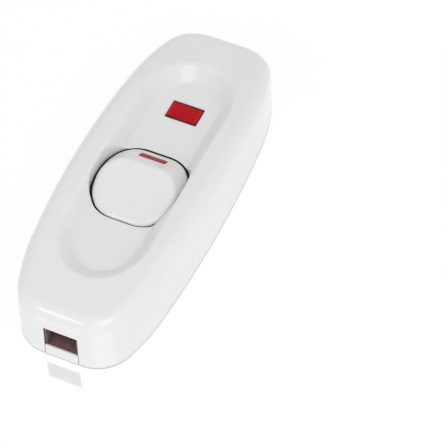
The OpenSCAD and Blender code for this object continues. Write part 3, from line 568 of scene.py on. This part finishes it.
def rocker():
    """Outside and inside skins of the rocker, joined along its lower edge."""
    around, rings = 192, 72
    azimuths = 2 * pi * (np.arange(around) + 0.5) / around
    down = np.array((0, sin(radians(HALF_TRAVEL)), -cos(radians(HALF_TRAVEL))))
    build = Builder()
    edges = []
    for inset, count in ((ROCKER_SHRINK, rings), (ROCKER_WALL, rings // 3)):
        low, high = np.full(around, radians(-40)), np.full(around, radians(10))
        for _ in range(30):
            middle = (low + high) / 2
            depth = (rocker_surface(azimuths, middle, inset) - (0, AXIS_Y, AXIS_Z)) @ down
            under = depth > ROCKER_SKIRT
            low, high = np.where(under, middle, low), np.where(under, high, middle)
        loops = [build.ring(rocker_surface(azimuths, pi / 2 + (low - pi / 2) * i / count, inset))
                 for i in range(1, count + 1)]
        build.fan(loops[0])
        build.strips(loops)
        edges.append(loops[-1])
    build.strip(*edges)
    return with_pin_bore(build.piece("rocker_cap", ROCKER_SHARP))


ROCKER_SHARP = 50           # angle above which an edge of the rocker is shaded as sharp
PIN_BORE = 1.33             # radius, clear of the hinge pins
PIN_BORE_STEPS = 96
BORE_PAST = 2               # how far the cutting tool runs past the rocker's sides


def with_pin_bore(cap):
    """Cuts the bore of the hinge pins through both sides of the rocker."""
    build = Builder()
    circle = arc((0, 0), PIN_BORE, 0, 360, PIN_BORE_STEPS)
    ends = [build.ring(np.column_stack((np.full(len(circle), x), circle[:, 0] + AXIS_Y,
                                        circle[:, 1] + AXIS_Z)))
            for x in (-ROCKER_HALF_WIDTH - BORE_PAST, ROCKER_HALF_WIDTH + BORE_PAST)]
    build.close(ends[0])
    build.strip(*ends)
    build.close(ends[1])
    cutter = build.piece("pin_bore")
    cut = cap.modifiers.new("pin_bore", "BOOLEAN")
    cut.operation, cut.solver, cut.object = "DIFFERENCE", "EXACT", cutter
    graph = bpy.context.evaluated_depsgraph_get()
    mesh = bpy.data.meshes.new_from_object(cap.evaluated_get(graph))
    cap.modifiers.clear()
    cap.data = mesh
    mesh.set_sharp_from_angle(angle=radians(ROCKER_SHARP))
    bpy.data.objects.remove(cutter)
    return cap


GUIDE_RADIUS = 3
GUIDE_BORE = 1.95
GUIDE_TOP, GUIDE_SEAT, GUIDE_END = 5.2, 3, -6.2
GUIDE_EDGE = 0.15
GUIDE_STEPS = 64
POLES = ("live", "neutral")


def plunger_frame(pole):
    """Where a plunger's line crosses the rocker's axis, and the ways along and across it."""
    turn = radians(HALF_TRAVEL)
    low, high = node_box(f"{pole}_plunger")
    origin = np.array(((low[0] + high[0]) / 2, AXIS_Y, AXIS_Z))
    return origin, np.array((0, -sin(turn), cos(turn))), np.array((0, cos(turn), sin(turn)))


def plunger_guides():
    """The round guides inside the rocker, from its roof down past its axis."""
    profile = [(GUIDE_RADIUS, GUIDE_TOP), (GUIDE_RADIUS, GUIDE_END + GUIDE_EDGE),
               (GUIDE_RADIUS - GUIDE_EDGE, GUIDE_END), (GUIDE_BORE + GUIDE_EDGE, GUIDE_END),
               (GUIDE_BORE, GUIDE_END + GUIDE_EDGE), (GUIDE_BORE, GUIDE_SEAT)]
    build = Builder()
    for pole in POLES:
        origin, up, across = plunger_frame(pole)
        rings = []
        for radius, height in profile:
            circle = arc((0, 0), radius, 0, 360, GUIDE_STEPS)
            rings.append(build.ring(origin + circle[:, :1] * (1, 0, 0) + circle[:, 1:] * across
                                    + height * up))
        build.close(rings[0])
        build.strips(rings)
        build.close(rings[-1])
    return build.piece("rocker_guides", 30)


SPRING_RADIUS, SPRING_WIRE = 1.1, 0.22
SPRING_TURNS, SPRING_STEPS, SPRING_SIDES = 7, 40, 16
PLUNGER_BORE_END = -6
SPRING_CLEAR = 1.2 * SPRING_WIRE        # from each seat to the middle of the wire
SPRING_LOW, SPRING_HIGH = PLUNGER_BORE_END + SPRING_CLEAR, GUIDE_SEAT - SPRING_CLEAR


def plunger_spring(pole):
    """A coil spring along the plunger's axis, with that axis and the middle of its seat."""
    origin, up, across = plunger_frame(pole)
    build = Builder()
    around = 2 * pi * np.arange(SPRING_SIDES) / SPRING_SIDES
    rings = []
    for share in np.linspace(0, 1, SPRING_TURNS * SPRING_STEPS + 1):
        way = 2 * pi * SPRING_TURNS * share
        out = SPRING_RADIUS + SPRING_WIRE * np.cos(around)
        height = SPRING_LOW + (SPRING_HIGH - SPRING_LOW) * share
        rings.append(build.ring(
            origin + np.outer(out * cos(way), (1, 0, 0)) + np.outer(out * sin(way), across)
            + np.outer(height + SPRING_WIRE * np.sin(around), up)))
    build.close(rings[0])
    build.strips(rings)
    build.close(rings[-1])
    return build.piece(f"{pole}_coil", 40), up, (origin + up * GUIDE_SEAT) * MM


# ---- Small solids ----


def rounded_rectangle(half, radius, steps=5):
    """A rectangle's loop with round corners."""
    radius = max(radius, 0.02)
    loop = []
    for turn, (sx, sy) in zip((0, 90, 180, 270), ((1, 1), (-1, 1), (-1, -1), (1, -1))):
        centre = (sx * (half[0] - radius), sy * (half[1] - radius))
        loop.append(arc(centre, radius, turn, turn + 90, steps, 0))
    return np.concatenate(loop)


def stack(build, profile, half, corner, place):
    """Rings of rounded rectangles: profile holds (inset x, inset y, height)."""
    rings = []
    for inset_x, inset_y, z in profile:
        loop = rounded_rectangle((half[0] - inset_x, half[1] - inset_y),
                                 corner - min(inset_x, inset_y))
        rings.append(build.ring(place(np.column_stack((loop, np.full(len(loop), z))))))
    build.close(rings[0])
    build.strips(rings)
    build.close(rings[-1])


BAR_SIZE = (8.5, 2.7)
BAR_DEPTH = 0.8
BAR_PROUD = 0.08
BAR_EDGE = 0.1


def indicator_bar():
    """The red bar let into the short facet, square to it."""
    low, high = node_box("rocker_indicator_bar")
    slope = radians(BAR_SLOPE)
    out = np.array((0, sin(slope), cos(slope)))
    along = np.array((0, cos(slope), -sin(slope)))
    middle = (low + high) / 2 + out * (BAR_DEPTH - BAR_PROUD) / 2

    def place(points):
        return middle + points[:, :1] * (1, 0, 0) + points[:, 1:2] * along + points[:, 2:] * out

    build = Builder()
    edge = [(BAR_EDGE * (1 - cos(t)), BAR_EDGE * (1 - cos(t)), BAR_PROUD - BAR_EDGE * (1 - sin(t)))
            for t in np.radians(np.linspace(0, 90, 5))]
    stack(build, [(0, 0, -BAR_DEPTH)] + edge, np.array(BAR_SIZE) / 2, 0.3, place)
    return build.piece("rocker_red_bar", 60)


LENS_FLANGE_GROW = (1.15, 1.2)
LENS_FLANGE_THICKNESS = 1


def lens():
    """The neon lens: wide chamfers at its sides, narrow ones at its ends, and a hidden flange."""
    flange_z = lens_low[2] + LENS_FLANGE_THICKNESS
    build = Builder()
    grow_x, grow_y = LENS_FLANGE_GROW
    top = LENS_TOP_Z
    stack(build, [
        (-grow_x, -grow_y, lens_low[2]), (-grow_x, -grow_y, flange_z), (0, 0, flange_z),
        (0, 0, top - 0.34), (0.03, 0.03, top - 0.28), (0.1, 0.06, top - 0.24),
        (0.7, 0.2, top - 0.05), (0.78, 0.24, top - 0.02), (0.86, 0.3, top),
    ], np.array(LENS_SIZE) / 2, 0.25, lambda points: points + (0, LENS_Y, 0))
    return build.piece("neon_window", 25)


# ---- Materials ----


class Nodes:
    """Short ways to add and join shader nodes of one material."""

    def __init__(self, name):
        self.material = bpy.data.materials.new(name)
        self.material.use_nodes = True
        self.tree = self.material.node_tree
        self.shader = self.tree.nodes["Principled BSDF"]
        self.output = self.tree.nodes["Material Output"]
        self.place = self.add("ShaderNodeTexCoord").outputs["Object"]

    def add(self, kind, values=None, **settings):
        node = self.tree.nodes.new(kind)
        for key, value in settings.items():
            setattr(node, key, value)
        for key, value in (values or {}).items():
            if isinstance(value, bpy.types.NodeSocket):
                self.tree.links.new(value, node.inputs[key])
            else:
                node.inputs[key].default_value = value
        return node

    def set(self, **values):
        for key, value in values.items():
            socket = self.shader.inputs[key.replace("_", " ")]
            if isinstance(value, bpy.types.NodeSocket):
                self.tree.links.new(value, socket)
            else:
                socket.default_value = value

    def noise(self, size, stretch=(1, 1, 1), detail=3.0):
        """Noise whose grains are about size millimetres across."""
        place = self.add("ShaderNodeMapping", {"Vector": self.place,
                                               "Scale": [1 / (size * MM * s) for s in stretch]})
        return self.add("ShaderNodeTexNoise", {
            "Vector": place.outputs["Vector"], "Scale": 1.0, "Detail": detail}).outputs["Fac"]

    def spread(self, value, low, high):
        """A value near 0.5 spread over a range."""
        return self.add("ShaderNodeMapRange", {
            "Value": value, "From Min": 0.3, "From Max": 0.7, "To Min": low, "To Max": high,
        }).outputs["Result"]

    def tones(self, value, low, high):
        """A colour between two tones."""
        ramp = self.add("ShaderNodeValToRGB", {"Fac": value})
        for stop, place, tone in zip(ramp.color_ramp.elements, (0.3, 0.7), (low, high)):
            stop.position = place
            stop.color = (*tone, 1)
        return ramp.outputs["Color"]

    def relief(self, height, depth, below=None):
        """Fine relief, depth in millimetres."""
        values = {"Height": height, "Strength": 1.0, "Distance": depth * MM}
        if below is not None:
            values["Normal"] = below
        return self.add("ShaderNodeBump", values).outputs["Normal"]


GAP_REACH = 0.8             # how far across a gap its far side paints shade on the plastic
GAP_DARK, GAP_LIGHT = 0.5, 0.8        # open shares at which the painted shade is full and at which it is gone
# colour of the painted shade in narrow gaps
GAP_SHADE_TONE = (0.02, 0.02, 0.021)


def shaded(tone, share):
    return tuple(channel * share for channel in tone)


def moulding(name, tone, gloss, peel=(1.6, 0.002), variation=0.97, **shader):
    """Moulded plastic: even tone, slight flow marks, and the soft waviness of its skin."""
    n = Nodes(name)
    n.set(Base_Color=n.tones(n.noise(14), shaded(tone, variation), tone),
          Roughness=n.spread(n.noise(5), gloss[0], gloss[1]))
    skin = n.relief(n.noise(peel[0]), peel[1])
    n.set(Normal=n.relief(n.noise(0.09, detail=1.0), 0.0003, skin))
    for key, value in shader.items():
        n.set(**{key: value})
    return n.material


def metal(name, tone, gloss, stretch, depth=0.004, size=0.12):
    """Drawn, stamped or plated metal with fine lines and duller patches."""
    n = Nodes(name)
    lines = n.noise(size, stretch)
    n.set(Base_Color=n.tones(n.noise(2.5), shaded(tone, 0.86), tone), Metallic=1.0,
          Roughness=n.spread(lines, gloss[0], gloss[1]), Normal=n.relief(lines, depth))
    return n.material


def white_plastic():
    """Glossy white moulding, with painted shade where it faces another surface across a narrow gap."""
    n = Nodes("white_plastic")
    tone = n.tones(n.noise(14), shaded(WHITE, 0.97), WHITE)
    # painted shade: the plastic turns dark where another surface lies close across a gap
    open_share = n.add("ShaderNodeAmbientOcclusion", {"Distance": GAP_REACH * MM}).outputs["AO"]
    light = n.add("ShaderNodeMapRange", {
        "Value": open_share, "From Min": GAP_DARK, "From Max": GAP_LIGHT},
        interpolation_type="SMOOTHSTEP").outputs["Result"]
    colour = n.add("ShaderNodeMix", {"Factor": light, 6: (*GAP_SHADE_TONE, 1), 7: tone},
                   data_type="RGBA").outputs[2]
    skin = n.relief(n.noise(1.6), 0.002)
    n.set(Base_Color=colour, Roughness=n.spread(n.noise(5), 0.2, 0.27), Coat_Weight=0.25,
          Coat_Roughness=0.06, IOR=1.5,
          Normal=n.relief(n.noise(0.09, detail=1.0), 0.0003, skin))
    return n.material


def red_plastic():
    return moulding("red_bar", (0.36, 0.012, 0.026), (0.3, 0.4), variation=0.85,
                    Specular_IOR_Level=0.22)


LENS_SIDE_SHEEN_BAND = 1.5        # how far the painted light along the sides reaches in
LENS_SIDE_SHADE, LENS_END_SHADE = 0.35, 0.75      # how far the painted shade at the edges reaches in
LENS_END_SHADE_SHIFT = 0.15       # widens the painted shade at the far end and narrows it at the near end


def red_lens():
    """Clear red window with painted shade in its edges, where the light goes down into the recess, and painted
    light in a paler band along its sides.
    """
    n = Nodes("red_lens")
    split = n.add("ShaderNodeSeparateXYZ", {"Vector": n.place})

    def edge(axis, middle, half, width):
        off = n.add("ShaderNodeMath", {0: split.outputs[axis], 1: middle * MM}, operation="SUBTRACT")
        far = n.add("ShaderNodeMath", {0: off.outputs[0]}, operation="ABSOLUTE")
        return n.add("ShaderNodeMapRange", {
            "Value": far.outputs[0], "From Min": (half - width) * MM,
            "From Max": (half - 0.4 * width) * MM}, interpolation_type="SMOOTHSTEP").outputs["Result"]

    def blend(share, low, high):
        return n.add("ShaderNodeMix", {"Factor": share, 6: low, 7: (*high, 1)},
                     data_type="RGBA").outputs[2]

    body = n.tones(n.noise(1.3), (0.40, 0.003, 0.007), (0.52, 0.005, 0.012))
    half_width, half_length = LENS_SIZE[0] / 2, LENS_SIZE[1] / 2
    # painted light: a paler band along the sides
    colour = blend(edge("X", 0, half_width, LENS_SIDE_SHEEN_BAND), body, (0.48, 0.012, 0.022))
    # painted shade at the side edges
    colour = blend(edge("X", 0, half_width, LENS_SIDE_SHADE), colour, (0.14, 0.004, 0.008))
    # painted shade at the ends, wider at the far end
    colour = blend(edge("Y", LENS_Y - LENS_END_SHADE_SHIFT, half_length, LENS_END_SHADE), colour,
                   (0.07, 0.002, 0.004))
    n.set(Base_Color=colour, Roughness=n.spread(n.noise(3), 0.1, 0.2), Specular_IOR_Level=0.12,
          Normal=n.relief(n.noise(1.1), 0.001))
    return n.material


def fibre():
    """Plum-brown vulcanised fibre: pressed layers and pale flecks."""
    n = Nodes("fibre")
    flecks = n.add("ShaderNodeTexVoronoi", {"Vector": n.place, "Scale": 1 / (0.35 * MM)}).outputs["Distance"]
    base = n.tones(n.noise(0.8, (1, 3, 1)), (0.175, 0.102, 0.108), (0.25, 0.147, 0.154))
    fleck = n.add("ShaderNodeMapRange", {
        "Value": flecks, "From Min": 0.06, "From Max": 0.14, "To Min": 0.35, "To Max": 0.0})
    colour = n.add("ShaderNodeMix", {"Factor": fleck.outputs["Result"], 6: base,
                                     7: (0.31, 0.195, 0.195, 1)}, data_type="RGBA").outputs[2]
    n.set(Base_Color=colour, Roughness=n.spread(n.noise(0.5), 0.5, 0.7), Specular_IOR_Level=0.3,
          Normal=n.relief(n.noise(0.25, (1, 4, 1)), 0.02))
    return n.material


def lamp_glass():
    n = Nodes("lamp_glass")
    n.set(Base_Color=n.tones(n.noise(3), (0.86, 0.9, 0.92), (0.95, 0.97, 0.98)),
          Roughness=n.spread(n.noise(2), 0.02, 0.06), Transmission_Weight=1.0, IOR=1.47,
          Normal=n.relief(n.noise(2.5), 0.004))
    return n.material


RESISTOR_BANDS = ((0.22, (0.35, 0.12, 0.03)), (0.38, (0.02, 0.02, 0.02)), (0.54, (0.55, 0.4, 0.03)),
                  (0.76, (0.5, 0.33, 0.1)))
BAND_HALF_WIDTH = 0.045


def resistor_body():
    """Lacquered body with value bands in generic colours."""
    n = Nodes("resistor_body")
    low, high = node_box("neon_resistor")
    along = n.add("ShaderNodeMapRange", {
        "Value": n.add("ShaderNodeSeparateXYZ", {"Vector": n.place}).outputs["Y"],
        "From Min": low[1] * MM, "From Max": high[1] * MM}).outputs["Result"]
    ramp = n.add("ShaderNodeValToRGB", {"Fac": along})
    ramp.color_ramp.interpolation = "CONSTANT"
    lacquer = (0.52, 0.38, 0.17)
    stops = [(0.0, lacquer)]
    for place, tone in RESISTOR_BANDS:
        stops += [(place - BAND_HALF_WIDTH, tone), (place + BAND_HALF_WIDTH, lacquer)]
    elements = ramp.color_ramp.elements
    while len(elements) < len(stops):
        elements.new(1.0)
    for element, (place, tone) in zip(elements, stops):
        element.position = place
        element.color = (*tone, 1)
    n.set(Base_Color=ramp.outputs["Color"], Roughness=n.spread(n.noise(1), 0.25, 0.4),
          Normal=n.relief(n.noise(0.6), 0.004))
    return n.material


WHITE = (0.80, 0.80, 0.795)

materials = {
    "white_plastic": white_plastic(),
    "red_lens": red_lens(),
    "red_bar": red_plastic(),
    "lamp_glass": lamp_glass(),
    "nickel_wire": metal("nickel_wire", (0.58, 0.56, 0.52), (0.25, 0.4), (1, 6, 1), 0.002, 0.06),
    "resistor_body": resistor_body(),
    "base_moulding": moulding("base_moulding", (0.045, 0.045, 0.048), (0.5, 0.62), (0.4, 0.008), 0.8),
    "spring_steel": metal("spring_steel", (0.5, 0.5, 0.52), (0.2, 0.35), (1, 1, 6), 0.001, 0.05),
    "plunger_nylon": moulding("plunger_nylon", (0.72, 0.68, 0.57), (0.38, 0.48), (0.8, 0.004)),
    "contact_silver": metal("contact_silver", (0.86, 0.85, 0.83), (0.15, 0.3), (1, 1, 1), 0.002),
    "fibre": fibre(),
    "plated_steel": metal("plated_steel", (0.66, 0.67, 0.68), (0.22, 0.38), (1, 1, 1), 0.003, 0.1),
    "brass": metal("brass", (0.78, 0.56, 0.24), (0.2, 0.36), (1, 12, 1), 0.003),
}


def finish_piece(piece, slot, body, *nodes):
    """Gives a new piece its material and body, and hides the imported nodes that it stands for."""
    piece.data.materials.append(materials[slot])
    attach(piece, body)
    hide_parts(*nodes)


for subpart in frame["record"]["subparts"]:
    for holder in frame["nodes"][subpart["node"]].material_slots:
        holder.material = materials[subpart["material_slot"]]

finish_piece(front_cover(), "white_plastic", "housing", "front_cover")
finish_piece(rocker(), "white_plastic", "rocker", "rocker")
finish_piece(plunger_guides(), "white_plastic", "rocker")
finish_piece(indicator_bar(), "red_bar", "rocker", "rocker_indicator_bar")
for pole in POLES:
    coil, up, seat = plunger_spring(pole)
    finish_piece(coil, "spring_steel", "rocker", f"{pole}_plunger_spring")
    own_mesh(coil)
finish_piece(lens(), "red_lens", "housing", "neon_lens")

# ---- Studio ----

FLOOR_SIZE = 6000
FLOOR_Z = -0.02             # just clear of the back face
FLOOR_GLOW = 1.16
FLOOR_MIRROR = 0.3
FLOOR_DIFFUSE = 0.2
WORLD_LEFT, WORLD_RIGHT = 0.66, 0.90


def floor():
    half = FLOOR_SIZE / 2
    corners = [(x * half, y * half, FLOOR_Z) for x, y in ((-1, -1), (1, -1), (1, 1), (-1, 1))]
    piece = new_piece("floor", corners, [(0, 1, 2, 3)])
    n = Nodes("floor")
    glow = n.add("ShaderNodeEmission", {"Color": (1, 1, 1, 1), "Strength": FLOOR_GLOW})
    mirror = n.add("ShaderNodeBsdfGlossy", {"Color": (1, 1, 1, 1), "Roughness": 0.03})
    matt = n.add("ShaderNodeBsdfDiffuse", {"Color": (0.95, 0.95, 0.95, 1)})
    lit = n.add("ShaderNodeMixShader", {0: FLOOR_DIFFUSE, 1: glow.outputs[0], 2: matt.outputs[0]})
    mixed = n.add("ShaderNodeMixShader", {0: FLOOR_MIRROR, 1: lit.outputs[0], 2: mirror.outputs[0]})
    n.tree.links.new(mixed.outputs[0], n.output.inputs["Surface"])
    piece.data.materials.append(n.material)


def softbox(name, azimuth, elevation, distance, size, power):
    """A square light that faces the object; azimuth 0 stands on the near side."""
    turn, rise = radians(azimuth), radians(elevation)
    way = Vector((sin(turn) * cos(rise), -cos(turn) * cos(rise), sin(rise)))
    light = bpy.data.lights.new(name, "AREA")
    light.size = size * MM
    light.energy = power
    holder = bpy.data.objects.new(name, light)
    holder.location = way * distance * MM
    holder.rotation_mode = "QUATERNION"
    holder.rotation_quaternion = way.to_track_quat("Z", "Y")
    bpy.context.scene.collection.objects.link(holder)


def studio():
    floor()
    softbox("key", 35, 50, 900, 500, 1.5)
    softbox("front", -21, 33, 900, 200, 0.6)
    world = bpy.data.worlds.new("studio")
    world.use_nodes = True
    tree = world.node_tree
    backdrop = tree.nodes["Background"]
    backdrop.inputs["Color"].default_value = (1, 1, 1, 1)
    split = tree.nodes.new("ShaderNodeSeparateXYZ")
    across = tree.nodes.new("ShaderNodeMapRange")
    tree.links.new(tree.nodes.new("ShaderNodeTexCoord").outputs["Generated"], split.inputs[0])
    tree.links.new(split.outputs["X"], across.inputs["Value"])
    tree.links.new(across.outputs["Result"], backdrop.inputs["Strength"])
    for socket, value in (("From Min", -1), ("To Min", WORLD_LEFT), ("To Max", WORLD_RIGHT)):
        across.inputs[socket].default_value = value
    scene = bpy.context.scene
    scene.world = world
    scene.view_settings.view_transform = "Standard"


studio()
